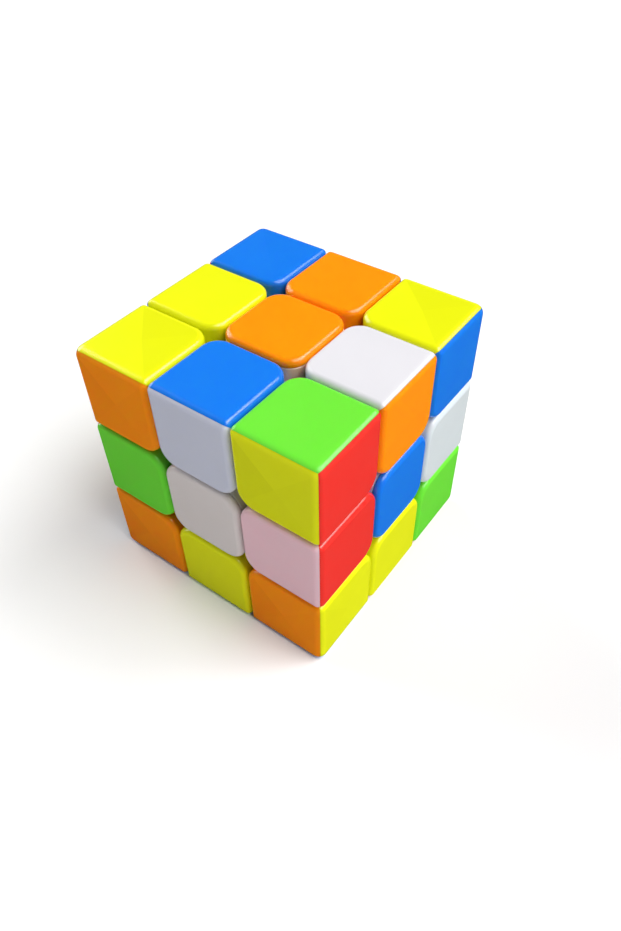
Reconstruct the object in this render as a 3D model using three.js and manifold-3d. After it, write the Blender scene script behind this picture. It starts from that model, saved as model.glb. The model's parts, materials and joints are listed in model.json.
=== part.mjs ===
// A three-layer twisty puzzle cube: a screwed core, six sprung centres, twelve two-shell
// edges and eight corners. Every parting surface is a plane at a fixed distance from the
// middle or a ball round it, so each of the six outer layers turns freely about its own axis.
// Millimetres, +Z up, origin at the middle of the cube. "front" is -Y and "right" is +X.

import * as THREE from 'three';
import { mergeVertices } from 'three/addons/utils/BufferGeometryUtils.js';
import Module from 'manifold-3d';

const wasm = await Module();
wasm.setup();

// Driving dimensions.
const CUBE = 56; // across two opposite faces
const CLEARANCE = 0.2; // from a cut plane to the plastic on each side of it
const WALL = 1.6; // of the hollow edge and corner shells
const RIM_BEVEL = 0.9; // round the rim of every coloured tile
const TILE_CORNER_R = 4; // plan radius of the tile corners that face the middle of a side
const TRACK_CUT = 5.4; // from the middle plane to the cut, inside the track
const TRACK_OUTER_R = 20; // ball between the feet and the blocks that hold them down
const TRACK_INNER_R = 12.6; // ball between the feet and the core
const TRACK_GAP = 0.25; // kept on each side of those balls
const MITRE_GAP = 0.1; // from the seam plane to each half of an edge

const CORE_BALL_R = 7;
const CORE_ARM_R = 4;
const CORE_ARM_TIP = 11.6;
const PILOT_R = 1.6;
const PILOT_DEPTH = 7.4;

const HUB_BOTTOM = 12;
const HUB_BORE_R = 1.8;
const POCKET_R = 3.9;
const POCKET_FLOOR = 15;
const CAP_THICKNESS = 1.6;
const CAP_PLUG_DEPTH = 1.8;
const PART_GAP = 0.3; // between pieces that touch on the real object
const OVERCUT = 1; // how far a cutting solid runs past the faces that it cuts

const SCREW_SHANK_R = 1.25;
const SCREW_HEAD_R = 3.1;
const SCREW_HEAD_TOP_R = 1.9;
const SCREW_HEAD_HEIGHT = 1.8;
const SCREW_HEAD_RIM = 1.1; // height of the head's straight side
const SCREW_HEAD_Z = 20.6;
const SCREW_TIP = 4.6;
const SCREW_TIP_R = 0.6;

const SPRING_R = 2.6; // to the middle of the wire
const SPRING_WIRE_R = 0.36;
const SPRING_TURNS = 4;

// How finely round surfaces are faceted.
const BALL_FACET = 5; // about the length of a facet's side
const BAR_SIDES = 12;
const BORE_SIDES = 10;
const TILE_CORNER_STEPS = 3;
const WIRE_SIDES = 5;
const WIRE_STEPS_PER_TURN = 8;

// An icosahedron's side over its radius, rounded up.
const ICOSAHEDRON_SIDE = 1.1;

// Worked out from them.
const HALF = CUBE / 2;
const CUT = CUBE / 6;
const BLOCK_START = CUT + CLEARANCE;
const BLOCK_SIDE = CUT - CLEARANCE;
const FOOT_START = TRACK_CUT + CLEARANCE;
const FOOT_SIDE = TRACK_CUT - CLEARANCE;
const CAP_BOTTOM = HALF - CAP_THICKNESS;
const HUB_TOP = CAP_BOTTOM - PART_GAP;

// A tile's extents along one direction: beside the cube's rim, or in the middle of a side.
const AT_THE_RIM = [BLOCK_START, HALF];
const IN_THE_MIDDLE = [-BLOCK_SIDE, BLOCK_SIDE];
const ALL_CORNERS = [[0, 0], [1, 0], [1, 1], [0, 1]];

const COLOURS = {
  white: 0xeceaee,
  yellow: 0xf4fa1e,
  orange: 0xff9408,
  red: 0xe7382f,
  green: 0x6fdc42,
  blue: 0x1a78ea,
};

const SIDES = {
  up: { normal: [0, 0, 1], colour: 'orange' },
  down: { normal: [0, 0, -1], colour: 'red' },
  front: { normal: [0, -1, 0], colour: 'white' },
  back: { normal: [0, 1, 0], colour: 'yellow' },
  right: { normal: [1, 0, 0], colour: 'blue' },
  left: { normal: [-1, 0, 0], colour: 'green' },
};

// Each edge's two sides with the colour that shows on each, as the cube stands scrambled.
const EDGES = [
  { up: 'white', right: 'orange' },
  { up: 'blue', front: 'white' },
  { up: 'yellow', left: 'blue' },
  { up: 'orange', back: 'blue' },
  { down: 'orange', right: 'yellow' },
  { down: 'green', front: 'yellow' },
  { down: 'green', left: 'red' },
  { down: 'blue', back: 'red' },
  { front: 'white', right: 'red' },
  { front: 'green', left: 'orange' },
  { back: 'red', left: 'yellow' },
  { back: 'green', right: 'white' },
];

// Each corner's three sides and the colour of its up or down tile.
const CORNERS = [
  { sides: ['up', 'front', 'right'], colour: 'green' },
  { sides: ['up', 'front', 'left'], colour: 'yellow' },
  { sides: ['up', 'back', 'left'], colour: 'blue' },
  { sides: ['up', 'back', 'right'], colour: 'yellow' },
  { sides: ['down', 'front', 'right'], colour: 'blue' },
  { sides: ['down', 'front', 'left'], colour: 'blue' },
  { sides: ['down', 'back', 'left'], colour: 'white' },
  { sides: ['down', 'back', 'right'], colour: 'red' },
];

// ---- Solids ------------------------------------------------------------------------------

function solidOf(geometry) {
  const bare = geometry.clone();
  bare.deleteAttribute('normal');
  bare.deleteAttribute('uv');
  const welded = mergeVertices(bare, 1e-4);
  const mesh = new wasm.Mesh({
    numProp: 3,
    vertProperties: new Float32Array(welded.attributes.position.array),
    triVerts: new Uint32Array(welded.index.array),
  });
  mesh.merge();
  return new wasm.Manifold(mesh);
}

function geometryOf(solid) {
  const { vertProperties, triVerts } = solid.getMesh();
  const geometry = new THREE.BufferGeometry();
  geometry.setAttribute('position', new THREE.BufferAttribute(vertProperties, 3));
  geometry.setIndex(new THREE.BufferAttribute(triVerts, 1));
  geometry.computeVertexNormals();
  return geometry;
}

function box(low, high) {
  const size = high.map((value, i) => value - low[i]);
  const middle = high.map((value, i) => (value + low[i]) / 2);
  return solidOf(new THREE.BoxGeometry(...size).translate(...middle));
}

// Its vertices lie on the radius, so its facets lie a little inside it.
function ball(radius) {
  const icosahedronSide = ICOSAHEDRON_SIDE * radius;
  const detail = Math.round(icosahedronSide / BALL_FACET) - 1;
  return solidOf(new THREE.IcosahedronGeometry(radius, detail));
}

// A round bar along +Z.
function bar(radius, bottom, top, sides = BAR_SIDES) {
  const geometry = new THREE.CylinderGeometry(radius, radius, top - bottom, sides);
  geometry.rotateX(Math.PI / 2);
  geometry.translate(0, 0, (top + bottom) / 2);
  return solidOf(geometry);
}

// A bar along the body diagonal of the first octant.
function diagonalBar(radius, bottom, top) {
  const geometry = new THREE.CylinderGeometry(radius, radius, top - bottom, BORE_SIDES);
  geometry.translate(0, (top + bottom) / 2, 0);
  const diagonal = new THREE.Vector3(1, 1, 1).normalize();
  const turn = new THREE.Quaternion().setFromUnitVectors(new THREE.Vector3(0, 1, 0), diagonal);
  geometry.applyQuaternion(turn);
  return solidOf(geometry);
}

// A tile's plan as a block along +Z with a bevelled top rim. x and y are its extents, and
// round lists the corners, as [x end, y end], that face the middle of the cube's side.
function tileBlock(x, y, round, bottom, top, bevel) {
  const shape = new THREE.Shape();
  ALL_CORNERS.forEach(([i, j], k) => {
    const isRound = round.some(([a, b]) => a === i && b === j);
    if (!isRound) {
      const step = k === 0 ? 'moveTo' : 'lineTo';
      shape[step](x[i], y[j]);
      return;
    }
    const centreX = x[i] + (i ? -TILE_CORNER_R : TILE_CORNER_R);
    const centreY = y[j] + (j ? -TILE_CORNER_R : TILE_CORNER_R);
    const start = Math.PI + (k * Math.PI) / 2;
    shape.absarc(centreX, centreY, TILE_CORNER_R, start, start + Math.PI / 2, false);
  });
  const geometry = new THREE.ExtrudeGeometry(shape, {
    depth: top - bottom - 2 * bevel,
    curveSegments: TILE_CORNER_STEPS,
    bevelEnabled: bevel > 0,
    bevelThickness: bevel,
    bevelSize: bevel,
    bevelOffset: -bevel,
    bevelSegments: 1,
  });
  geometry.translate(0, 0, bottom + bevel);
  return solidOf(geometry);
}

// ---- Core ----------------------------------------------------------------------------------

// Turns a solid made along +Z to point along each of the six sides.
function onSixSides(solid) {
  const turns = [[0, 0, 0], [180, 0, 0], [90, 0, 0], [-90, 0, 0], [0, 90, 0], [0, -90, 0]];
  return turns.map((turn) => solid.rotate(turn));
}

function coreSolid() {
  const arms = onSixSides(bar(CORE_ARM_R, 0, CORE_ARM_TIP));
  const pilot = bar(PILOT_R, CORE_ARM_TIP - PILOT_DEPTH, CORE_ARM_TIP + OVERCUT, BORE_SIDES);
  const body = arms.reduce((sum, arm) => sum.add(arm), ball(CORE_BALL_R));
  return onSixSides(pilot).reduce((rest, hole) => rest.subtract(hole), body);
}

// ---- Centres -------------------------------------------------------------------------------

function hubSolid() {
  const block = tileBlock(IN_THE_MIDDLE, IN_THE_MIDDLE, ALL_CORNERS, CUT, HUB_TOP, 0);
  const overTheFeet = block.subtract(ball(TRACK_OUTER_R + TRACK_GAP));
  const column = box([-FOOT_SIDE, -FOOT_SIDE, HUB_BOTTOM], [FOOT_SIDE, FOOT_SIDE, HUB_TOP - WALL]);
  const pocket = bar(POCKET_R, POCKET_FLOOR, HUB_TOP + OVERCUT);
  const bore = bar(HUB_BORE_R, HUB_BOTTOM - OVERCUT, POCKET_FLOOR + OVERCUT, BORE_SIDES);
  return overTheFeet.add(column).subtract(pocket).subtract(bore);
}

function capSolid() {
  const tile = tileBlock(IN_THE_MIDDLE, IN_THE_MIDDLE, ALL_CORNERS, 0, HALF, RIM_BEVEL);
  const underTheCap = box([-CUT, -CUT, -OVERCUT], [CUT, CUT, CAP_BOTTOM]);
  const plug = bar(POCKET_R - PART_GAP, HUB_TOP - CAP_PLUG_DEPTH, CAP_BOTTOM + OVERCUT);
  return tile.subtract(underTheCap).add(plug);
}

function screwGeometry() {
  const profile = [
    [0, SCREW_TIP],
    [SCREW_TIP_R, SCREW_TIP],
    [SCREW_SHANK_R, SCREW_TIP + SCREW_SHANK_R],
    [SCREW_SHANK_R, SCREW_HEAD_Z],
    [SCREW_HEAD_R, SCREW_HEAD_Z],
    [SCREW_HEAD_R, SCREW_HEAD_Z + SCREW_HEAD_RIM],
    [SCREW_HEAD_TOP_R, SCREW_HEAD_Z + SCREW_HEAD_HEIGHT],
    [0, SCREW_HEAD_Z + SCREW_HEAD_HEIGHT],
  ];
  const points = profile.map(([r, z]) => new THREE.Vector2(r, z));
  return new THREE.LatheGeometry(points, BORE_SIDES).rotateX(Math.PI / 2);
}

class Helix extends THREE.Curve {
  getPoint(t, target = new THREE.Vector3()) {
    const angle = t * SPRING_TURNS * 2 * Math.PI;
    const bottom = POCKET_FLOOR + PART_GAP + SPRING_WIRE_R;
    const top = SCREW_HEAD_Z - PART_GAP - SPRING_WIRE_R;
    const height = bottom + (top - bottom) * t;
    return target.set(SPRING_R * Math.cos(angle), SPRING_R * Math.sin(angle), height);
  }
}

function springGeometry() {
  const section = new THREE.Shape();
  for (let i = 0; i < WIRE_SIDES; i += 1) {
    const angle = (i / WIRE_SIDES) * 2 * Math.PI;
    const step = i === 0 ? 'moveTo' : 'lineTo';
    section[step](SPRING_WIRE_R * Math.cos(angle), SPRING_WIRE_R * Math.sin(angle));
  }
  const steps = SPRING_TURNS * WIRE_STEPS_PER_TURN;
  return new THREE.ExtrudeGeometry(section, { steps, extrudePath: new Helix() });
}

// ---- Edges ---------------------------------------------------------------------------------

// The +Z half of the edge between the +Z and +X sides, split on the seam plane z = x.
function edgeHalfSolid() {
  const upTile = tileBlock(AT_THE_RIM, IN_THE_MIDDLE, [[0, 0], [0, 1]], 0, HALF, RIM_BEVEL);
  const sideTile = upTile.mirror([1, 0, -1]);
  const over = upTile.intersect(sideTile).subtract(ball(TRACK_OUTER_R + TRACK_GAP));
  const foot = box([FOOT_START, -FOOT_SIDE, FOOT_START], [HALF, FOOT_SIDE, HALF])
    .intersect(ball(TRACK_OUTER_R - TRACK_GAP));
  const neck = box([BLOCK_START, -FOOT_SIDE, BLOCK_START], [HALF - WALL, FOOT_SIDE, HALF - WALL])
    .intersect(ball(TRACK_OUTER_R + WALL));
  const inside = box(
    [BLOCK_START + WALL, -BLOCK_SIDE + WALL, BLOCK_START + WALL],
    [HALF - WALL, BLOCK_SIDE - WALL, HALF - WALL],
  ).subtract(ball(TRACK_OUTER_R + WALL));
  const whole = over.add(foot).add(neck).subtract(ball(TRACK_INNER_R + TRACK_GAP));
  const seam = new THREE.Vector3(-1, 0, 1).normalize();
  return whole.subtract(inside).trimByPlane(seam.toArray(), MITRE_GAP);
}

// ---- Corners -------------------------------------------------------------------------------

// The corner between the +X, +Y and +Z sides. Its hollow opens through the foot.
function cornerSolid() {
  const upTile = tileBlock(AT_THE_RIM, AT_THE_RIM, [[0, 0]], 0, HALF, RIM_BEVEL);
  const sideTile = upTile.mirror([1, 0, -1]);
  const otherTile = upTile.mirror([0, 1, -1]);
  const block = upTile.intersect(sideTile).intersect(otherTile);
  const foot = box([FOOT_START, FOOT_START, FOOT_START], [HALF, HALF, HALF])
    .intersect(ball(TRACK_OUTER_R - TRACK_GAP));
  const low = BLOCK_START + WALL;
  const high = HALF - WALL;
  const inside = box([low, low, low], [high, high, high]);
  const opening = diagonalBar(WALL, TRACK_INNER_R - OVERCUT, TRACK_OUTER_R + WALL);
  return block.add(foot)
    .subtract(ball(TRACK_INNER_R + TRACK_GAP))
    .subtract(inside)
    .subtract(opening);
}

// ---- Assembly ------------------------------------------------------------------------------

const plastics = Object.fromEntries(
  Object.entries(COLOURS).map(([name, color]) => [
    name,
    new THREE.MeshStandardMaterial({ color, roughness: 0.28, metalness: 0 }),
  ]),
);
const corePlastic = new THREE.MeshStandardMaterial({ color: 0xd8d9dc, roughness: 0.5 });
const steel = new THREE.MeshStandardMaterial({ color: 0xb9bcc1, roughness: 0.3, metalness: 1 });

const cube = new THREE.Group();

function vectorOf(side) {
  return new THREE.Vector3(...SIDES[side].normal);
}

// Adds a piece made facing +Z, turned so that its +Z and +X point along the two directions.
function place(name, geometry, material, z, x) {
  const mesh = new THREE.Mesh(geometry, material);
  const y = new THREE.Vector3().crossVectors(z, x);
  mesh.name = name;
  mesh.quaternion.setFromRotationMatrix(new THREE.Matrix4().makeBasis(x, y, z));
  cube.add(mesh);
}

function addCore() {
  const up = vectorOf('up');
  place('core', geometryOf(coreSolid()), corePlastic, up, vectorOf('right'));
}

function addCentres() {
  const hub = geometryOf(hubSolid());
  const cap = geometryOf(capSolid());
  const screw = screwGeometry();
  const spring = springGeometry();
  for (const [side, { colour }] of Object.entries(SIDES)) {
    const out = vectorOf(side);
    const across = vectorOf(out.z === 0 ? 'up' : 'right');
    place(`screw_${side}`, screw, steel, out, across);
    place(`spring_${side}`, spring, steel, out, across);
    place(`hub_${side}`, hub, plastics.white, out, across);
    place(`cap_${side}`, cap, plastics[colour], out, across);
  }
}

function addEdges() {
  const half = geometryOf(edgeHalfSolid());
  for (const tiles of EDGES) {
    const [first, second] = Object.keys(tiles);
    const name = `edge_${first}_${second}`;
    const a = vectorOf(first);
    const b = vectorOf(second);
    place(`${name}_half_${first}`, half, plastics[tiles[first]], a, b);
    place(`${name}_half_${second}`, half, plastics[tiles[second]], b, a);
  }
}

function addCorners() {
  const corner = geometryOf(cornerSolid());
  for (const { sides, colour } of CORNERS) {
    const [z, y, x] = sides.map(vectorOf);
    // The corner is the same seen in a mirror, so a left-handed place swaps two of its sides.
    const isRightHanded = new THREE.Vector3().crossVectors(x, y).dot(z) > 0;
    place(`corner_${sides.join('_')}`, corner, plastics[colour], z, isRightHanded ? x : y);
  }
}

addCore();
addCentres();
addEdges();
addCorners();

export default cube;
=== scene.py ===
"""Looks for the three-layer twisty puzzle cube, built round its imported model.

Every physical piece of the cube is made here at its real shape and rides on its own body:
coloured tiles with thin walls, the feet that run in the track, hubs, springs, washers,
screws and the core. Each kind of piece is made once, in millimetres, facing +Z, and copied
into place by quarter turns. "front" is -Y and "right" is +X.
"""
import json
import math

import bmesh
import bpy
from mathutils import Matrix, Vector

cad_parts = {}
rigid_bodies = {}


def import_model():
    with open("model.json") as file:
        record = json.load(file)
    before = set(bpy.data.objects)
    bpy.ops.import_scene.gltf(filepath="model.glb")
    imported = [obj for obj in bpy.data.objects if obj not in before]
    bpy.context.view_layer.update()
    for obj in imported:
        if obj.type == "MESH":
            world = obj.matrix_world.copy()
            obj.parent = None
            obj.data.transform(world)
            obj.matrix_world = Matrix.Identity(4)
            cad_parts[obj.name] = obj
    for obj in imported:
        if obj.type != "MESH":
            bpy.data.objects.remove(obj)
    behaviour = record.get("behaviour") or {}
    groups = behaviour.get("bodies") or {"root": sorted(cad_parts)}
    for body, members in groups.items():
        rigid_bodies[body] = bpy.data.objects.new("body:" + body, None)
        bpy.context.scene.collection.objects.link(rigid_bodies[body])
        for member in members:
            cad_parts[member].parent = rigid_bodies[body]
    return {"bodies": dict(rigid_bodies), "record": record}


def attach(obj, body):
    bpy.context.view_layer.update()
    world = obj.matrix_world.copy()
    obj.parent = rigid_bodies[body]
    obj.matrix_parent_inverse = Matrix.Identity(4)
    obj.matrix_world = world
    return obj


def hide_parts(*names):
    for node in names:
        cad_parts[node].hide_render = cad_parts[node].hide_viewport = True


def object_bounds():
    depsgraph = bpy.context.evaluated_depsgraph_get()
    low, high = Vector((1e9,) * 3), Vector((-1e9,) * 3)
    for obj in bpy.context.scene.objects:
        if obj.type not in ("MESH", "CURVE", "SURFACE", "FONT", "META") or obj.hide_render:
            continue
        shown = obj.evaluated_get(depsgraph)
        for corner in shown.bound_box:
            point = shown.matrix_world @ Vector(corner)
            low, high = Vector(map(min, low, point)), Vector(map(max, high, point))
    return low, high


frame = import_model()
cad_low, cad_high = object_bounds()

# ---- Dimensions, in millimetres -------------------------------------------------------------

MM = 0.001
HALF = cad_high.x / MM
CUT = HALF / 3  # from the middle to the cut between two layers

CLEARANCE = 0.2  # from a cut plane to the plastic on each side of it
FILLET = 1.2  # round a tile's sides that face other tiles
OUTER_FILLET = 1.7  # along the cube's own edges
TILE_CORNER_R = 4.0  # plan radius of the tile corners that face the middle of a side
CUBE_CORNER_R = 2.1  # of those at the cube's eight corners
EDGE_END_R = 1.3  # and of those where a gap meets the cube's edge
WALL_SIDE = 1.3
WALL_TOP = 1.6
SEAM = 0.004  # from the seam between two colours to each of them
CORNER_TILE_RISE = 0.07  # how far a corner tile's middle stands above its rim
HIP_SHARES = (0.002, 0.1, 0.5, 0.9)  # the rings of that rise, from the middle, 0, to the rim, 1
CHAMFER = 0.1  # round the edges of a cap's underside and of a hub's top

TRACK_CUT = 5.4  # from the middle to the cut, inside the track
TRACK_OUTER_R = 20.0
TRACK_INNER_R = 12.6
TRACK_GAP = 0.25
BLOCK_LIFT = 0.1  # how much further the blocks stand off the ball that parts them from the feet

NECK_GAP = 0.05  # between a neck and the cut's side of its block
EDGE_NECK_INSET = 0.3  # how much narrower an edge's neck is than its foot, on each side
EDGE_NECK_REACH = 2 * WALL_TOP  # how far it goes past the track, each way
CORNER_NECK_REACH = 2  # the same of a corner's neck
CORNER_NECK_SHORT = 2  # how far it stops short of the corner block's outer sides
CORNER_BLOCK_GAP = 0.1  # between a corner's block and the tiles round it
EDGE_FOOT_ROUNDING = 0.3
CORNER_FOOT_ROUNDING = 0.35
CORNER_BLOCK_ROUNDING = 1.0

HUB_BOTTOM = 12.0
HUB_BORE_R = 1.8
HUB_HEAD_INSETS = (0, 1, 2.5, 4.5, 6.5)  # where the rings under a hub's head lie, from its sides
HUB_HEAD_MIDDLE = 0.5  # how far from the axis the last of them is
COLUMN_OVERLAP = 2  # how far the column stops below the head's top
COLUMN_ROUNDING = 0.5
POCKET_R = 3.9
POCKET_FLOOR = 15.0
CAP_THICKNESS = 1.6
PLUG_DEPTH = 1.8
PLUG_WALL = 1
PLUG_GAP = 0.3
PLUG_OVERLAP = 0.5
PART_GAP = 0.12

CORE_BALL_R = 7.0
CORE_ARM_R = 4.0
CORE_ARM_TIP = 11.6
CORE_TIP_CHAMFER = 0.4
CORE_FLARE = CORE_ARM_R * 0.35  # how much wider an arm is at its root
CORE_FLARE_START = CORE_BALL_R * 0.8
PILOT_R = 1.6
PILOT_DEPTH = 7.4

SCREW_SHANK_R = 1.25
SCREW_HEAD_R = 3.1
SCREW_HEAD_HEIGHT = 1.8
SCREW_HEAD_Z = 20.6
SCREW_TIP = 4.6
SCREW_POINT_R = 0.05
SCREW_POINT_LENGTH = 0.3
TIP_SHARE = 0.35  # the shank's radius at its tip, as a share of the whole
TIP_TAPER = 2  # the length over which a full radius would be gained
THREAD_PITCH = 0.9
THREAD_DEPTH = 0.28
PLAIN_SHANK = 1.5  # without thread, under the head
THREAD_RUNOUT = 0.8
RECESS_REACH = 1.5
RECESS_HALF_WIDTH = 0.35
RECESS_DEPTH = 1.1
WASHER_THICKNESS = 0.28
WASHER_INNER_R = 1.5
WASHER_OUTER_R = 3.2
WASHER_CHAMFER = 0.07
WASHER_GAP = 0.01

SPRING_R = 2.6
SPRING_WIRE_R = 0.36
SPRING_TURNS = 5
CLOSED_TURNS = 0.8  # at each end, where the coils lie on each other
CLOSED_PITCH = 2 * SPRING_WIRE_R * 1.02  # a little over the wire's width
SPRING_GAP_BELOW = 0.02
SPRING_GAP_ABOVE = 0.04

OVERCUT = 1  # how far a cutting solid passes the surface that it cuts

BLOCK_START = CUT + CLEARANCE
BLOCK_SIDE = CUT - CLEARANCE
FOOT_START = TRACK_CUT + CLEARANCE
FOOT_SIDE = TRACK_CUT - CLEARANCE
CAP_BOTTOM = HALF - CAP_THICKNESS
HUB_TOP = CAP_BOTTOM - PART_GAP
AT_THE_RIM = (BLOCK_START, HALF)
IN_THE_MIDDLE = (-BLOCK_SIDE, BLOCK_SIDE)

# Painted shade on a corner tile's four sectors, set by which side of the cube the tile is on
# and which way each sector points. How dark each sector of a tile on each side is, by where the
# sector points, and how much darker the darkest is in each plastic.
SECTOR_PAINTED_SHADES = {
    "up": {"right": 0.8, "back": 1.0},
    "down": {"right": 0.8, "front": 1.0},
    "front": {"left": 1.0, "down": 0.6, "right": 0.35},
    "back": {"right": 1.0, "down": 0.6, "left": 0.35},
    "right": {"front": 0.5, "up": 0.3},
    "left": {"back": 0.5, "up": 0.3},
}
SECTOR_PAINTED_DARKENING = {"yellow": 0.07, "orange": 0.08}
LEAST_PAINTED_DARKENING = 0.012
SECTOR_MARGIN = 0.01  # how far below its rim's top a tile still counts as having sectors

# How finely curves are divided.
ARC_STEPS = 10
SIDE_STEPS = 10
FILLET_STEPS = 7
ROUND_SIDES = 48
BALL_SUBDIVISIONS = 5
FLARE_STEPS = 8
SCREW_SIDES = 24
STEPS_PER_THREAD = 8
STEPS_PER_COIL = 36
WIRE_SIDES = 10

MERGE = 1e-4  # points nearer to each other than this become one
ON_PLANE = 1e-5  # points nearer to a cutting plane than this lie on it
AXIS_R = 1e-3  # the radius of a turned solid's ends, in place of 0
SHARP_ANGLE = 32  # degrees between two faces, past which their edge looks sharp

# ---- Layout ---------------------------------------------------------------------------------

NORMALS = {
    "up": Vector((0, 0, 1)),
    "down": Vector((0, 0, -1)),
    "front": Vector((0, -1, 0)),
    "back": Vector((0, 1, 0)),
    "right": Vector((1, 0, 0)),
    "left": Vector((-1, 0, 0)),
}

# The colour of each corner's tile on each of its sides, as the cube stands scrambled.
CORNERS = [
    {"up": "green", "front": "yellow", "right": "red"},
    {"up": "yellow", "front": "orange", "left": "green"},
    {"up": "blue", "back": "white", "left": "red"},
    {"up": "yellow", "back": "red", "right": "blue"},
    {"down": "blue", "front": "orange", "right": "yellow"},
    {"down": "blue", "front": "orange", "left": "white"},
    {"down": "white", "back": "green", "left": "orange"},
    {"down": "red", "back": "white", "right": "green"},
]

SLOTS = {row["node"]: row["material_slot"] for row in frame["record"]["subparts"]}


def colour_of(node):
    """The colour name of a node's plastic, from the record's slot, such as plastic_red."""
    return SLOTS[node].removeprefix("plastic_")


# ---- Mesh tools -----------------------------------------------------------------------------


def plan_ring(u, v, radii, insets, heights):
    """A tile's outline moved in, anticlockwise from its low corner, as a ring of points.

    u and v are the tile's extents and radii its four corner radii. insets says how far each of
    its four sides is moved in: low v, high u, high v, low u. heights is one height for each of
    those sides, a single height, or a function of a point's two places.
    """
    # Which end of u and of v each corner is at, and which of the insets moves it along each.
    corners = ((0, 0, 3, 0), (1, 0, 1, 0), (1, 1, 1, 2), (0, 1, 3, 2))
    arcs = []
    for k, (i, j, side_u, side_v) in enumerate(corners):
        radius = max(radii[k] - (insets[side_u] + insets[side_v]) / 2, 0.0)
        reach_u, reach_v = insets[side_u] + radius, insets[side_v] + radius
        centre_u = u[i] - reach_u if i else u[i] + reach_u
        centre_v = v[j] - reach_v if j else v[j] + reach_v
        start = math.pi + k * math.pi / 2
        arc = []
        for step in range(ARC_STEPS + 1):
            share = step / ARC_STEPS
            angle = start + share * math.pi / 2
            place = (centre_u + radius * math.cos(angle), centre_v + radius * math.sin(angle))
            arc.append((place, k - 1 + smooth(share)))
        arcs.append(arc)
    ring = []
    for k, arc in enumerate(arcs):
        ring += arc
        (a_u, a_v), (b_u, b_v) = arc[-1][0], arcs[(k + 1) % 4][0][0]
        for step in range(1, SIDE_STEPS):
            t = step / SIDE_STEPS
            ring.append(((a_u + (b_u - a_u) * t, a_v + (b_v - a_v) * t), k))
    return [Vector((*place, height_at(heights, place, side))) for place, side in ring]


def smooth(share):
    """0 to 1 with a level start and end."""
    return share * share * (3 - 2 * share)


def height_at(heights, place, side):
    """A ring point's height; side counts round the four sides, with corners in between."""
    if callable(heights):
        return heights(*place)
    if not isinstance(heights, tuple):
        return heights
    low = math.floor(side)
    share = side - low
    return heights[low % 4] * (1 - share) + heights[(low + 1) % 4] * share


def circle_ring(radius, height, sides):
    """A circle round the Z axis as a ring of points."""
    turn = 2 * math.pi / sides
    angles = [i * turn for i in range(sides)]
    return [Vector((radius * math.cos(a), radius * math.sin(a), height)) for a in angles]


def loft(rings, closed=False):
    """A closed solid through rings of equal length. Unless closed on itself, its ends are capped."""
    solid = bmesh.new()
    rows = [[solid.verts.new(point) for point in ring] for ring in rings]
    pairs = list(zip(rows, rows[1:]))
    if closed:
        pairs.append((rows[-1], rows[0]))
    for low, high in pairs:
        for i in range(len(low)):
            j = (i + 1) % len(low)
            solid.faces.new((low[i], low[j], high[j], high[i]))
    if not closed:
        solid.faces.new(reversed(rows[0]))
        solid.faces.new(rows[-1])
    bmesh.ops.remove_doubles(solid, verts=solid.verts, dist=MERGE)
    bmesh.ops.dissolve_degenerate(solid, edges=solid.edges, dist=MERGE)
    bmesh.ops.recalc_face_normals(solid, faces=solid.faces)
    return solid


def trim(solid, point, normal):
    """Cuts away what lies beyond a plane and closes the cut."""
    everything = solid.verts[:] + solid.edges[:] + solid.faces[:]
    cut = bmesh.ops.bisect_plane(
        solid, geom=everything, dist=ON_PLANE, plane_co=point, plane_no=normal, clear_outer=True
    )
    edges = [item for item in cut["geom_cut"] if isinstance(item, bmesh.types.BMEdge)]
    filled = bmesh.ops.edgeloop_fill(solid, edges=edges)
    bmesh.ops.triangulate(solid, faces=filled["faces"])
    return solid


def mesh_of(solid, name):
    """A solid as a new mesh."""
    mesh = bpy.data.meshes.new(name)
    solid.to_mesh(mesh)
    return mesh


def combine(solid, other, operation):
    """The union, difference or intersection of two closed solids."""
    first = bpy.data.objects.new("first", mesh_of(solid, "first"))
    second = bpy.data.objects.new("second", mesh_of(other, "second"))
    for item in (first, second):
        bpy.context.scene.collection.objects.link(item)
    modifier = first.modifiers.new("combine", "BOOLEAN")
    modifier.operation = operation
    modifier.solver = "EXACT"
    modifier.object = second
    shaped = first.evaluated_get(bpy.context.evaluated_depsgraph_get())
    made = bmesh.new()
    made.from_mesh(shaped.to_mesh())
    shaped.to_mesh_clear()
    for item in (first, second):
        mesh = item.data
        bpy.data.objects.remove(item)
        bpy.data.meshes.remove(mesh)
    bmesh.ops.remove_doubles(made, verts=made.verts, dist=MERGE)
    return made


def soften(solid, width, segments=2, angle=40):
    """Rounds a solid's edges that are sharper than an angle in degrees."""
    limit = math.radians(angle)
    sharp = [e for e in solid.edges if len(e.link_faces) == 2 and e.calc_face_angle() > limit]
    bmesh.ops.bevel(
        solid, geom=sharp, offset=width, segments=segments, profile=0.5,
        affect="EDGES", clamp_overlap=True,
    )
    return solid


def box(low, high):
    """A box as a closed solid."""
    solid = bmesh.new()
    middle = [(a + b) / 2 for a, b in zip(low, high)]
    size = [b - a for a, b in zip(low, high)]
    matrix = Matrix.Translation(middle) @ Matrix.Diagonal((*size, 1))
    bmesh.ops.create_cube(solid, size=1, matrix=matrix)
    return solid


def ball(radius):
    """A ball round the middle of the cube."""
    solid = bmesh.new()
    bmesh.ops.create_icosphere(solid, subdivisions=BALL_SUBDIVISIONS, radius=radius)
    return solid


def bar(radius, bottom, top):
    """A round bar along Z."""
    return loft([circle_ring(radius, height, ROUND_SIDES) for height in (bottom, top)])


def lathe(profile):
    """A solid turned about Z from (radius, height) points that start and end on the axis."""
    return loft([circle_ring(max(r, AXIS_R), height, ROUND_SIDES) for r, height in profile])


def over_the_track(a, b):
    """The height at which a wall over (a, b) meets the ball that parts blocks from feet."""
    under = (TRACK_OUTER_R + TRACK_GAP + BLOCK_LIFT) ** 2 - a * a - b * b
    return math.sqrt(max(under, CUT * CUT))


# ---- Tiles and their shells -----------------------------------------------------------------

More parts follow.
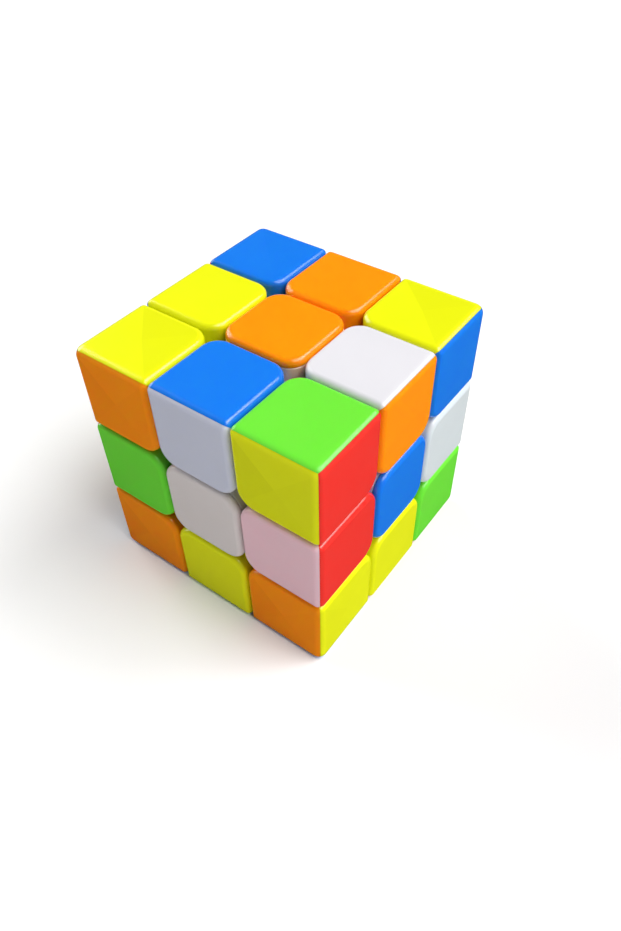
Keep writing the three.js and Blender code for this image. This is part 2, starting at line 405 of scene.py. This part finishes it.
# The rounding of a tile's four sides: low v, high u, high v, low u.
INNER_SIDES = (FILLET,) * 4
EDGE_SIDES = (FILLET, OUTER_FILLET, FILLET, FILLET)
CORNER_SIDES = (FILLET, OUTER_FILLET, OUTER_FILLET, FILLET)
NO_INSET = (0,) * 4
CENTRE_PLAN = (IN_THE_MIDDLE, IN_THE_MIDDLE, (TILE_CORNER_R,) * 4)


def tile_rings(u, v, radii, fillets, rise=0.0):
    """The outside of a tile from the middle of its top, over the rim, to the top of its wall."""
    rings = []
    half_width = (u[1] - u[0]) / 2
    if rise:
        # A hip of four very shallow faces that meet over the middle.
        for share in HIP_SHARES:
            insets = tuple(half_width - share * (half_width - fillet) for fillet in fillets)
            rings.append(plan_ring(u, v, radii, insets, HALF - rise * share))
    for step in range(FILLET_STEPS + 1):
        angle = step / FILLET_STEPS * math.pi / 2
        insets = tuple(fillet * (1 - math.sin(angle)) for fillet in fillets)
        heights = tuple(HALF - rise - fillet * (1 - math.cos(angle)) for fillet in fillets)
        rings.append(plan_ring(u, v, radii, insets, heights))
    return rings


def tile_shell(u, v, radii, fillets, rise=0.0):
    """A tile with its walls, open below, ending on the ball that parts it from the feet."""
    rings = tile_rings(u, v, radii, fillets, rise)
    inside = (WALL_SIDE,) * 4
    rings.append(plan_ring(u, v, radii, NO_INSET, over_the_track))
    rings.append(plan_ring(u, v, radii, inside, over_the_track))
    rings.append(plan_ring(u, v, radii, inside, HALF - WALL_TOP))
    return loft(rings)


def edge_half():
    """The +Z half of the edge between the +Z and +X sides, its half of the foot included."""
    radii = (TILE_CORNER_R, EDGE_END_R, EDGE_END_R, TILE_CORNER_R)
    shell = tile_shell(AT_THE_RIM, IN_THE_MIDDLE, radii, EDGE_SIDES)
    foot = box((FOOT_START, -FOOT_SIDE, FOOT_START), (HALF, FOOT_SIDE, HALF))
    foot = combine(foot, ball(TRACK_OUTER_R - TRACK_GAP), "INTERSECT")
    foot = combine(foot, ball(TRACK_INNER_R + TRACK_GAP), "DIFFERENCE")
    inner = BLOCK_START + NECK_GAP
    outer = HALF - 2 * WALL_TOP
    side = FOOT_SIDE - EDGE_NECK_INSET
    neck = box((inner, -side, inner), (outer, side, outer))
    neck = combine(neck, ball(TRACK_OUTER_R + EDGE_NECK_REACH), "INTERSECT")
    neck = combine(neck, ball(TRACK_OUTER_R - EDGE_NECK_REACH), "DIFFERENCE")
    foot = soften(combine(foot, neck, "UNION"), EDGE_FOOT_ROUNDING)
    whole = combine(shell, foot, "UNION")
    return trim(whole, (SEAM, 0, -SEAM), (1, 0, -1))


def corner_tile():
    """The +Z tile of the corner between the +X, +Y and +Z sides, with its part of the walls."""
    radii = (TILE_CORNER_R, EDGE_END_R, CUBE_CORNER_R, EDGE_END_R)
    shell = tile_shell(AT_THE_RIM, AT_THE_RIM, radii, CORNER_SIDES, CORNER_TILE_RISE)
    trim(shell, (SEAM, 0, -SEAM), (1, 0, -1))
    return trim(shell, (0, SEAM, -SEAM), (0, 1, -1))


def corner_foot():
    """The inner piece that carries a corner's three tiles: a foot in the track and a block."""
    foot = box([FOOT_START] * 3, [HALF] * 3)
    foot = combine(foot, ball(TRACK_OUTER_R - TRACK_GAP), "INTERSECT")
    foot = combine(foot, ball(TRACK_INNER_R + TRACK_GAP), "DIFFERENCE")
    foot = soften(foot, CORNER_FOOT_ROUNDING)
    low = BLOCK_START + WALL_SIDE + CORNER_BLOCK_GAP
    high = HALF - WALL_TOP - CORNER_BLOCK_GAP
    block = soften(box([low] * 3, [high] * 3), CORNER_BLOCK_ROUNDING, segments=3)
    neck = box([BLOCK_START + NECK_GAP] * 3, [high - CORNER_NECK_SHORT] * 3)
    neck = combine(neck, ball(TRACK_OUTER_R + CORNER_NECK_REACH), "INTERSECT")
    foot = combine(foot, neck, "UNION")
    return combine(foot, block, "UNION")


def centre_cap():
    """The flat cap of the +Z centre, with a ring under it that plugs into the hub."""
    rings = tile_rings(*CENTRE_PLAN, INNER_SIDES)
    rings.append(plan_ring(*CENTRE_PLAN, NO_INSET, CAP_BOTTOM + CHAMFER))
    rings.append(plan_ring(*CENTRE_PLAN, (CHAMFER,) * 4, CAP_BOTTOM))
    cap = loft(rings)
    plug_r = POCKET_R - PLUG_GAP
    plug = bar(plug_r, HUB_TOP - PLUG_DEPTH, CAP_BOTTOM + PLUG_OVERLAP)
    plug = combine(plug, bar(plug_r - PLUG_WALL, 0, CAP_BOTTOM), "DIFFERENCE")
    return combine(cap, plug, "UNION")


def hub():
    """The +Z centre's turning block: a square head over the feet, a column and a spring pocket."""
    rings = [
        plan_ring(*CENTRE_PLAN, (CHAMFER,) * 4, HUB_TOP),
        plan_ring(*CENTRE_PLAN, NO_INSET, HUB_TOP - CHAMFER),
    ]
    for inset in (*HUB_HEAD_INSETS, BLOCK_SIDE - HUB_HEAD_MIDDLE):
        rings.append(plan_ring(*CENTRE_PLAN, (inset,) * 4, over_the_track))
    head = loft(rings)
    column_top = HUB_TOP - COLUMN_OVERLAP
    column = box((-FOOT_SIDE, -FOOT_SIDE, HUB_BOTTOM), (FOOT_SIDE, FOOT_SIDE, column_top))
    body = combine(head, soften(column, COLUMN_ROUNDING, segments=3), "UNION")
    pocket = bar(POCKET_R, POCKET_FLOOR, HUB_TOP + OVERCUT)
    bore = bar(HUB_BORE_R, HUB_BOTTOM - OVERCUT, POCKET_FLOOR + OVERCUT)
    return combine(combine(body, pocket, "DIFFERENCE"), bore, "DIFFERENCE")


# ---- Core, screws, springs and washers ------------------------------------------------------

SIX_WAYS = [
    Matrix.Identity(4),
    Matrix.Rotation(math.pi, 4, "X"),
    Matrix.Rotation(math.pi / 2, 4, "X"),
    Matrix.Rotation(-math.pi / 2, 4, "X"),
    Matrix.Rotation(math.pi / 2, 4, "Y"),
    Matrix.Rotation(-math.pi / 2, 4, "Y"),
]


def core():
    """The six-armed core: a ball with flared arms and a pilot hole down each."""
    profile = [(0, 0), (CORE_ARM_R + CORE_FLARE, 0), (CORE_ARM_R + CORE_FLARE, CORE_FLARE_START)]
    for step in range(1, FLARE_STEPS + 1):
        angle = step / FLARE_STEPS * math.pi / 2
        radius = CORE_ARM_R + CORE_FLARE * (1 - math.sin(angle))
        height = CORE_FLARE_START + CORE_FLARE * 2 * (1 - math.cos(angle))
        profile.append((radius, height))
    profile += [
        (CORE_ARM_R, CORE_ARM_TIP - CORE_TIP_CHAMFER),
        (CORE_ARM_R - CORE_TIP_CHAMFER, CORE_ARM_TIP),
        (0, CORE_ARM_TIP),
    ]
    body = ball(CORE_BALL_R)
    for way in SIX_WAYS:
        arm = lathe(profile)
        arm.transform(way)
        body = combine(body, arm, "UNION")
    for way in SIX_WAYS:
        hole = bar(PILOT_R, CORE_ARM_TIP - PILOT_DEPTH, CORE_ARM_TIP + OVERCUT)
        hole.transform(way)
        body = combine(body, hole, "DIFFERENCE")
    return body


def screw():
    """A pan-head screw with a helical thread and a cross recess, along +Z."""
    length = SCREW_HEAD_Z - SCREW_TIP
    rows = int(length / THREAD_PITCH * STEPS_PER_THREAD)
    rings = [circle_ring(SCREW_POINT_R, SCREW_TIP - SCREW_POINT_LENGTH, SCREW_SIDES)]
    for row in range(rows + 1):
        along = row / rows * length
        taper = min(1, TIP_SHARE + along / TIP_TAPER)
        thread_end = max(0, min(1, (length - along - PLAIN_SHANK) / THREAD_RUNOUT))
        ring = []
        for side in range(SCREW_SIDES):
            share = side / SCREW_SIDES
            phase = (along / THREAD_PITCH - share) % 1
            crest = 1 - abs(2 * phase - 1)
            radius = (SCREW_SHANK_R - THREAD_DEPTH * (1 - crest) * thread_end) * taper
            angle = share * 2 * math.pi
            x, y = radius * math.cos(angle), radius * math.sin(angle)
            ring.append(Vector((x, y, SCREW_TIP + along)))
        rings.append(ring)
    top = SCREW_HEAD_Z + SCREW_HEAD_HEIGHT
    # The head's outline from its seat to the middle of its top: how far in from its rim, and
    # the height.
    head = (
        (0.15, SCREW_HEAD_Z), (0, SCREW_HEAD_Z + 0.15), (0, top - 0.9),
        (0.15, top - 0.5), (0.6, top - 0.15), (1.2, top),
    )
    for inset, height in head:
        rings.append(circle_ring(SCREW_HEAD_R - inset, height, SCREW_SIDES))
    body = loft(rings)
    for x, y in ((RECESS_REACH, RECESS_HALF_WIDTH), (RECESS_HALF_WIDTH, RECESS_REACH)):
        slot = box((-x, -y, top - RECESS_DEPTH), (x, y, top + OVERCUT))
        body = combine(body, slot, "DIFFERENCE")
    return body


def spring():
    """A compression spring with closed ends, round Z, between the pocket floor and the washer."""
    bottom = POCKET_FLOOR + SPRING_WIRE_R + SPRING_GAP_BELOW
    top = SCREW_HEAD_Z - WASHER_THICKNESS - SPRING_WIRE_R - SPRING_GAP_ABOVE
    steps = SPRING_TURNS * STEPS_PER_COIL
    closed_share = CLOSED_TURNS / SPRING_TURNS
    end_rise = closed_share * SPRING_TURNS * CLOSED_PITCH
    rings = []
    for step in range(steps + 1):
        t = step / steps
        angle = t * SPRING_TURNS * 2 * math.pi
        if t < closed_share:
            height = bottom + t * SPRING_TURNS * CLOSED_PITCH
        elif t > 1 - closed_share:
            height = top - (1 - t) * SPRING_TURNS * CLOSED_PITCH
        else:
            share = (t - closed_share) / (1 - 2 * closed_share)
            height = bottom + end_rise + share * (top - bottom - 2 * end_rise)
        out = Vector((math.cos(angle), math.sin(angle), 0))
        centre = out * SPRING_R + Vector((0, 0, height))
        ring = []
        for side in range(WIRE_SIDES):
            turn = side / WIRE_SIDES * 2 * math.pi
            offset = out * math.cos(turn) + Vector((0, 0, 1)) * math.sin(turn)
            ring.append(centre + offset * SPRING_WIRE_R)
        rings.append(ring)
    return loft(rings)


def washer():
    """The flat ring under a screw's head, with small chamfers."""
    top = SCREW_HEAD_Z - WASHER_GAP
    bottom = top - WASHER_THICKNESS
    inner, outer = WASHER_INNER_R, WASHER_OUTER_R
    edge = WASHER_CHAMFER
    section = [
        (inner, bottom + edge), (inner + edge, bottom), (outer - edge, bottom),
        (outer, bottom + edge), (outer, top - edge), (outer - edge, top),
        (inner + edge, top), (inner, top - edge),
    ]
    return loft([circle_ring(r, height, ROUND_SIDES) for r, height in section], closed=True)


# ---- Materials ------------------------------------------------------------------------------

# Linear colours of the plastics.
PLASTICS = {
    "white": (0.71, 0.66, 0.65),
    "yellow": (0.76, 0.79, 0.004),
    "orange": (1.0, 0.285, 0.0),
    "red": (0.80, 0.034, 0.024),
    "green": (0.16, 0.71, 0.044),
    "blue": (0.006, 0.19, 0.74),
}

# Painted bounce light on white: a white shell is tinted as if lit by light bounced off the colour
# joined to it.
WHITE_BOUNCE_TINTS = {
    "blue": (0.60, 0.62, 0.73),
    "red": (0.82, 0.55, 0.61),
    "orange": (0.69, 0.68, 0.71),
    "green": (0.64, 0.69, 0.71),
}

HUB_WHITE = 0.85
HUB_TINT = 0.5  # how far the colour over it tints a hub
CORE_GREY = (0.62, 0.63, 0.65)
STEEL = (0.62, 0.63, 0.66)
STEEL_ROUGHNESS = 0.3
STREAK_DARK = 0.85  # the darkest of the turning marks, as a share of the steel's colour
STREAK_SPREAD = 0.3  # how much smoother or rougher they are, as a share of its roughness

# Noise scales: how many features there are to a metre.
MOTTLE_SCALE = 90
SMEAR_SCALE = 260
GRAIN_SCALE = 1600
STREAK_SCALE = 900

# The darkest and lightest of the mottling, as shares of the plastic's own colour.
MOTTLE_DARK = 0.96
MOTTLE_LIGHT = 1.03
MOTTLE_LIFT = 0.002  # added to the lightest, so that a channel of 0 varies too
MOST_POLISHED = 0.17  # the least roughness of the plastics
LEAST_POLISHED = 0.26
GRAIN_STRENGTH = 0.06
GRAIN_HEIGHT = 0.0001
PLASTIC_IOR = 1.5

# Light under the surface: how much goes in, and how far, in metres, a white channel's reaches.
# A dark channel's reaches a smaller share of that.
SUBSURFACE_WEIGHT = 0.8
SUBSURFACE_SCALE = 0.0007
SUBSURFACE_LEAST = 0.15


def node(tree, kind, **settings):
    """A new node with its settings."""
    made = tree.nodes.new(kind)
    for name, value in settings.items():
        setattr(made, name, value)
    return made


def noise_over(tree, place, scale, detail):
    """The output of a noise over the piece's own coordinates."""
    noise = node(tree, "ShaderNodeTexNoise")
    noise.inputs["Scale"].default_value = scale
    noise.inputs["Detail"].default_value = detail
    tree.links.new(place.outputs["Object"], noise.inputs["Vector"])
    return noise.outputs["Fac"]


def plastic(name, colour, painted_darkening=LEAST_PAINTED_DARKENING):
    """Smooth moulded plastic: faint mottling, uneven gloss, a fine grain and light through it.

    The last argument is how much darker it is, as painted shade, where the face attribute of painted
    sector shade is 1.
    """
    material = bpy.data.materials.new(name)
    material.use_nodes = True
    tree = material.node_tree
    shader = tree.nodes["Principled BSDF"]
    place = node(tree, "ShaderNodeTexCoord")

    mottle = noise_over(tree, place, MOTTLE_SCALE, 3)
    lightest = [min(1, c * MOTTLE_LIGHT + MOTTLE_LIFT) for c in colour]
    shade = node(tree, "ShaderNodeMix", data_type="RGBA")
    shade.inputs["A"].default_value = (*[c * MOTTLE_DARK for c in colour], 1)
    shade.inputs["B"].default_value = (*lightest, 1)
    tree.links.new(mottle, shade.inputs["Factor"])
    # Painted shade: a corner tile's sectors are darkened by the face attribute set when the tiles
    # are placed.
    painted_shade = node(tree, "ShaderNodeAttribute", attribute_name="painted_shade")
    sector_shade_mix = node(tree, "ShaderNodeMix", data_type="RGBA")
    sector_shade_mix.inputs["B"].default_value = (*[c * (1 - painted_darkening) for c in colour], 1)
    tree.links.new(painted_shade.outputs["Fac"], sector_shade_mix.inputs["Factor"])
    tree.links.new(shade.outputs["Result"], sector_shade_mix.inputs["A"])
    tree.links.new(sector_shade_mix.outputs["Result"], shader.inputs["Base Color"])

    polish = node(tree, "ShaderNodeMapRange")
    polish.inputs["To Min"].default_value = MOST_POLISHED
    polish.inputs["To Max"].default_value = LEAST_POLISHED
    smear = noise_over(tree, place, SMEAR_SCALE, 4)
    tree.links.new(smear, polish.inputs["Value"])
    tree.links.new(polish.outputs["Result"], shader.inputs["Roughness"])

    grain = noise_over(tree, place, GRAIN_SCALE, 2)
    bump = node(tree, "ShaderNodeBump")
    bump.inputs["Strength"].default_value = GRAIN_STRENGTH
    bump.inputs["Distance"].default_value = GRAIN_HEIGHT
    tree.links.new(grain, bump.inputs["Height"])
    tree.links.new(bump.outputs["Normal"], shader.inputs["Normal"])

    reach = [SUBSURFACE_LEAST + (1 - SUBSURFACE_LEAST) * c for c in colour]
    shader.inputs["IOR"].default_value = PLASTIC_IOR
    shader.inputs["Subsurface Weight"].default_value = SUBSURFACE_WEIGHT
    shader.inputs["Subsurface Radius"].default_value = reach
    shader.inputs["Subsurface Scale"].default_value = SUBSURFACE_SCALE
    return material


def under_cap(colour):
    """The white of a hub, tinted by the light that comes through a cap of this colour."""
    return [(1 - HUB_TINT) * HUB_WHITE + HUB_TINT * channel for channel in colour]


def metal(name, colour, roughness):
    """Zinc-plated steel with fine turning marks."""
    material = bpy.data.materials.new(name)
    material.use_nodes = True
    tree = material.node_tree
    shader = tree.nodes["Principled BSDF"]
    place = node(tree, "ShaderNodeTexCoord")
    streaks = noise_over(tree, place, STREAK_SCALE, 2)
    shade = node(tree, "ShaderNodeMix", data_type="RGBA")
    shade.inputs["A"].default_value = (*[c * STREAK_DARK for c in colour], 1)
    shade.inputs["B"].default_value = (*colour, 1)
    tree.links.new(streaks, shade.inputs["Factor"])
    tree.links.new(shade.outputs["Result"], shader.inputs["Base Color"])
    polish = node(tree, "ShaderNodeMapRange")
    polish.inputs["To Min"].default_value = roughness * (1 - STREAK_SPREAD)
    polish.inputs["To Max"].default_value = roughness * (1 + STREAK_SPREAD)
    tree.links.new(streaks, polish.inputs["Value"])
    tree.links.new(polish.outputs["Result"], shader.inputs["Roughness"])
    shader.inputs["Metallic"].default_value = 1
    return material


plastics = {
    name: plastic(f"plastic_{name}", colour, SECTOR_PAINTED_DARKENING.get(name, LEAST_PAINTED_DARKENING))
    for name, colour in PLASTICS.items()
}
# White materials with painted bounce light from each other colour.
bounce_lit_whites = {
    name: plastic(f"plastic_white_painted_bounce_{name}", colour)
    for name, colour in WHITE_BOUNCE_TINTS.items()
}
hubs = {
    name: plastic(f"plastic_hub_under_{name}", under_cap(colour))
    for name, colour in PLASTICS.items()
}
core_plastic = plastic("core_plastic", CORE_GREY)
steel = metal("steel", STEEL, STEEL_ROUGHNESS)

# ---- Placing --------------------------------------------------------------------------------


def add_piece(name, solid, facing, across, body, material, slot, replaced=None):
    """Places a copy of a solid made facing +Z, so that its +Z and +X point as given.

    It rides on body. replaced is the CAD node that it takes the place of, if there is one.
    """
    mesh = mesh_of(solid, name)
    side = facing.cross(across)
    turn = Matrix((across, side, facing)).transposed().to_4x4()
    mesh.transform(Matrix.Scale(MM, 4) @ turn)
    mesh.materials.append(material)
    mesh.shade_smooth()
    mesh.set_sharp_from_angle(angle=math.radians(SHARP_ANGLE))
    piece = bpy.data.objects.new(name, mesh)
    bpy.context.scene.collection.objects.link(piece)
    modifier = piece.modifiers.new("flat faces stay flat", "WEIGHTED_NORMAL")
    modifier.keep_sharp = True
    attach(piece, body)
    if replaced:
        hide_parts(replaced)
    return piece


def plastic_beside(colour, partner):
    """The material of a coloured shell that is joined to a shell of another colour; a white one gets
    that colour's painted bounce light.
    """
    return bounce_lit_whites.get(partner, plastics["white"]) if colour == "white" else plastics[colour]


def add_core():
    """The core, as it is made."""
    add_piece(
        "core_spider", core(), NORMALS["up"], NORMALS["right"], "core",
        core_plastic, "core_plastic", "core",
    )


def add_centres():
    """Each side's cap, hub and spring, which turn, and its washer and screw, which don't."""
    cap, block, coil, ring, fastener = centre_cap(), hub(), spring(), washer(), screw()
    for side, facing in NORMALS.items():
        across = NORMALS["right"] if side in ("up", "down") else NORMALS["up"]
        turning = (facing, across, f"centre_{side}")
        fixed = (facing, across, "core")
        metal_finish = (steel, "steel")
        colour = colour_of(f"cap_{side}")
        cap_finish = (plastics[colour], f"plastic_{colour}")
        hub_finish = (hubs[colour], "plastic_white")
        add_piece(f"centre_{side}_cap", cap, *turning, *cap_finish, f"cap_{side}")
        add_piece(f"centre_{side}_hub", block, *turning, *hub_finish, f"hub_{side}")
        add_piece(f"centre_{side}_spring", coil, *turning, *metal_finish, f"spring_{side}")
        add_piece(f"centre_{side}_washer", ring, *fixed, *metal_finish)
        add_piece(f"core_screw_{side}", fastener, *fixed, *metal_finish, f"screw_{side}")


def add_edges():
    """Each edge's two shells. A body's name says which two sides its edge is between."""
    half = edge_half()
    for body in frame["bodies"]:
        if not body.startswith("edge_"):
            continue
        _, first, second = body.split("_")
        for side, other in ((first, second), (second, first)):
            replaced = f"{body}_half_{side}"
            colour = colour_of(replaced)
            material = plastic_beside(colour, colour_of(f"{body}_half_{other}"))
            add_piece(
                f"{body}_shell_{side}", half, NORMALS[side], NORMALS[other], body,
                material, f"plastic_{colour}", replaced,
            )


def paint_shade_on_sectors(tile, side, others):
    """Marks how much painted shade each of a placed corner tile's four sectors gets."""
    painted_shade = tile.data.attributes.new("painted_shade", "FLOAT", "FACE")
    middle = NORMALS[side] * HALF
    for other in others:
        middle += NORMALS[other] * (BLOCK_START + HALF) / 2
    top = HALF - CORNER_TILE_RISE - SECTOR_MARGIN
    for polygon in tile.data.polygons:
        place = polygon.center / MM
        if place.dot(NORMALS[side]) > top:
            offset = place - middle
            towards = max(NORMALS, key=lambda name: offset.dot(NORMALS[name]))
            painted_shade.data[polygon.index].value = SECTOR_PAINTED_SHADES[side].get(towards, 0.0)


def add_corners():
    """Each corner's three tiles and the foot that carries them."""
    tile, foot = corner_tile(), corner_foot()
    for tiles in CORNERS:
        body = "corner_" + "_".join(tiles)
        for side, colour in tiles.items():
            others = [other for other in tiles if other != side]
            a, b = (NORMALS[other] for other in others)
            facing = NORMALS[side]
            across = a if a.cross(b).dot(facing) > 0 else b
            material = plastic_beside(colour, tiles[others[0]])
            piece = add_piece(
                f"{body}_tile_{side}", tile, facing, across, body, material, f"plastic_{colour}"
            )
            # Painted shade on the tile's four sectors.
            paint_shade_on_sectors(piece, side, others)
        z, y, x = (NORMALS[side] for side in tiles)
        across = x if x.cross(y).dot(z) > 0 else y
        add_piece(f"{body}_foot", foot, z, across, body, core_plastic, "core_plastic", body)


add_core()
add_centres()
add_edges()
add_corners()

# ---- Stage, lights and camera ---------------------------------------------------------------

# In metres.
FLOOR_REACH = 4.0
FLOOR_DROP = 0.00001  # from the cube's underside to the floor

FLOOR_WHITE = 0.84
FLOOR_ROUGHNESS = 0.9
FLOOR_SPECULAR = 0.1

# Each softbox: its name, the way to it, its width in degrees and how bright it makes a pure
# white floor.
SOFTBOXES = (
    ("overhead_softbox", (0.58, 0.12, 0.80), 50, 0.80),
    ("back_right_softbox", (0.40, 0.57, 0.71), 30, 0.26),
    ("left_fill", (-0.91, 0.03, 0.42), 45, 0.28),
)

# The backdrop's brightness from straight down, at 0, past the horizon, at 0.5, to overhead, at 1.
BACKDROP = ((0, 0.04), (0.49, 0.04), (0.5, 0.3), (0.62, 0.12), (0.75, 0.05))

# Where the camera stands round the cube, in degrees, and how far it is turned on its own axis.
CAMERA_AZIMUTH = 36.931
CAMERA_ELEVATION = 45.707
CAMERA_ROLL = -1.266
# How far it stands back from the cube's middle, and is moved right and up in its own view, in
# metres.
CAMERA_DISTANCE = 0.158317
CAMERA_RIGHT = 0.004274
CAMERA_UP = -0.006979
CAMERA_NEAR = 0.01
# Its sensor's long side and its focal length, in millimetres.
SENSOR = 36
FOCAL_LENGTH = 28.4965


def add_floor():
    """A plain pale floor, which the cube's gloss doesn't mirror."""
    mesh = bpy.data.meshes.new("floor")
    low, high = -FLOOR_REACH, FLOOR_REACH
    level = cad_low.z - FLOOR_DROP
    corners = [(low, low, level), (high, low, level), (high, high, level), (low, high, level)]
    mesh.from_pydata(corners, [], [(0, 1, 2, 3)])
    floor = bpy.data.objects.new("floor", mesh)
    bpy.context.scene.collection.objects.link(floor)
    material = bpy.data.materials.new("floor_paint")
    material.use_nodes = True
    shader = material.node_tree.nodes["Principled BSDF"]
    shader.inputs["Base Color"].default_value = (FLOOR_WHITE, FLOOR_WHITE, FLOOR_WHITE, 1)
    shader.inputs["Roughness"].default_value = FLOOR_ROUGHNESS
    shader.inputs["Specular IOR Level"].default_value = FLOOR_SPECULAR
    mesh.materials.append(material)
    floor.visible_glossy = False


def add_soft_sun(name, direction, angle, share):
    """A softbox so far away that it lights the whole floor alike.

    angle is its width in degrees and share is how bright it makes a pure white floor.
    """
    away = Vector(direction).normalized()
    light = bpy.data.lights.new(name, "SUN")
    light.angle = math.radians(angle)
    light.energy = math.pi * share / away.z
    lamp = bpy.data.objects.new(name, light)
    lamp.location = away
    lamp.rotation_mode = "QUATERNION"
    lamp.rotation_quaternion = away.to_track_quat("Z", "Y")
    bpy.context.scene.collection.objects.link(lamp)


def add_backdrop():
    """A world that lights mostly from just above the horizon, and looks plain white itself."""
    world = bpy.data.worlds.new("backdrop")
    world.use_nodes = True
    tree = world.node_tree
    background = tree.nodes["Background"]
    direction = node(tree, "ShaderNodeTexCoord")
    parts = node(tree, "ShaderNodeSeparateXYZ")
    tree.links.new(direction.outputs["Generated"], parts.inputs["Vector"])
    height = node(tree, "ShaderNodeMapRange")
    height.inputs["From Min"].default_value = -1
    tree.links.new(parts.outputs["Z"], height.inputs["Value"])
    shade = node(tree, "ShaderNodeValToRGB")
    shade.color_ramp.elements.remove(shade.color_ramp.elements[1])
    for k, (place, level) in enumerate(BACKDROP):
        stop = shade.color_ramp.elements.new(place) if k else shade.color_ramp.elements[0]
        stop.position = place
        stop.color = (level, level, level, 1)
    tree.links.new(height.outputs["Result"], shade.inputs["Fac"])
    ray = node(tree, "ShaderNodeLightPath")
    seen = node(tree, "ShaderNodeMix", data_type="RGBA")
    seen.inputs["B"].default_value = (1, 1, 1, 1)
    tree.links.new(ray.outputs["Is Camera Ray"], seen.inputs["Factor"])
    tree.links.new(shade.outputs["Color"], seen.inputs["A"])
    tree.links.new(seen.outputs["Result"], background.inputs["Color"])
    bpy.context.scene.world = world


def add_camera():
    """The camera, looking down on the cube's front and right sides."""
    azimuth, elevation = math.radians(CAMERA_AZIMUTH), math.radians(CAMERA_ELEVATION)
    back = Vector((
        math.sin(azimuth) * math.cos(elevation),
        -math.cos(azimuth) * math.cos(elevation),
        math.sin(elevation),
    ))
    right = Vector((math.cos(azimuth), math.sin(azimuth), 0))
    up = back.cross(right)
    data = bpy.data.cameras.new("camera")
    data.sensor_width = SENSOR
    data.lens = FOCAL_LENGTH
    data.clip_start = CAMERA_NEAR
    camera = bpy.data.objects.new("camera", data)
    camera.location = back * CAMERA_DISTANCE + right * CAMERA_RIGHT + up * CAMERA_UP
    basis = Matrix((right, up, back)).transposed()
    roll = Matrix.Rotation(math.radians(CAMERA_ROLL), 3, "Z")
    camera.rotation_mode = "QUATERNION"
    camera.rotation_quaternion = (basis @ roll).to_quaternion()
    bpy.context.scene.collection.objects.link(camera)
    bpy.context.scene.camera = camera


add_floor()
for softbox in SOFTBOXES:
    add_soft_sun(*softbox)
add_backdrop()
bpy.context.scene.view_settings.view_transform = "Standard"
add_camera()
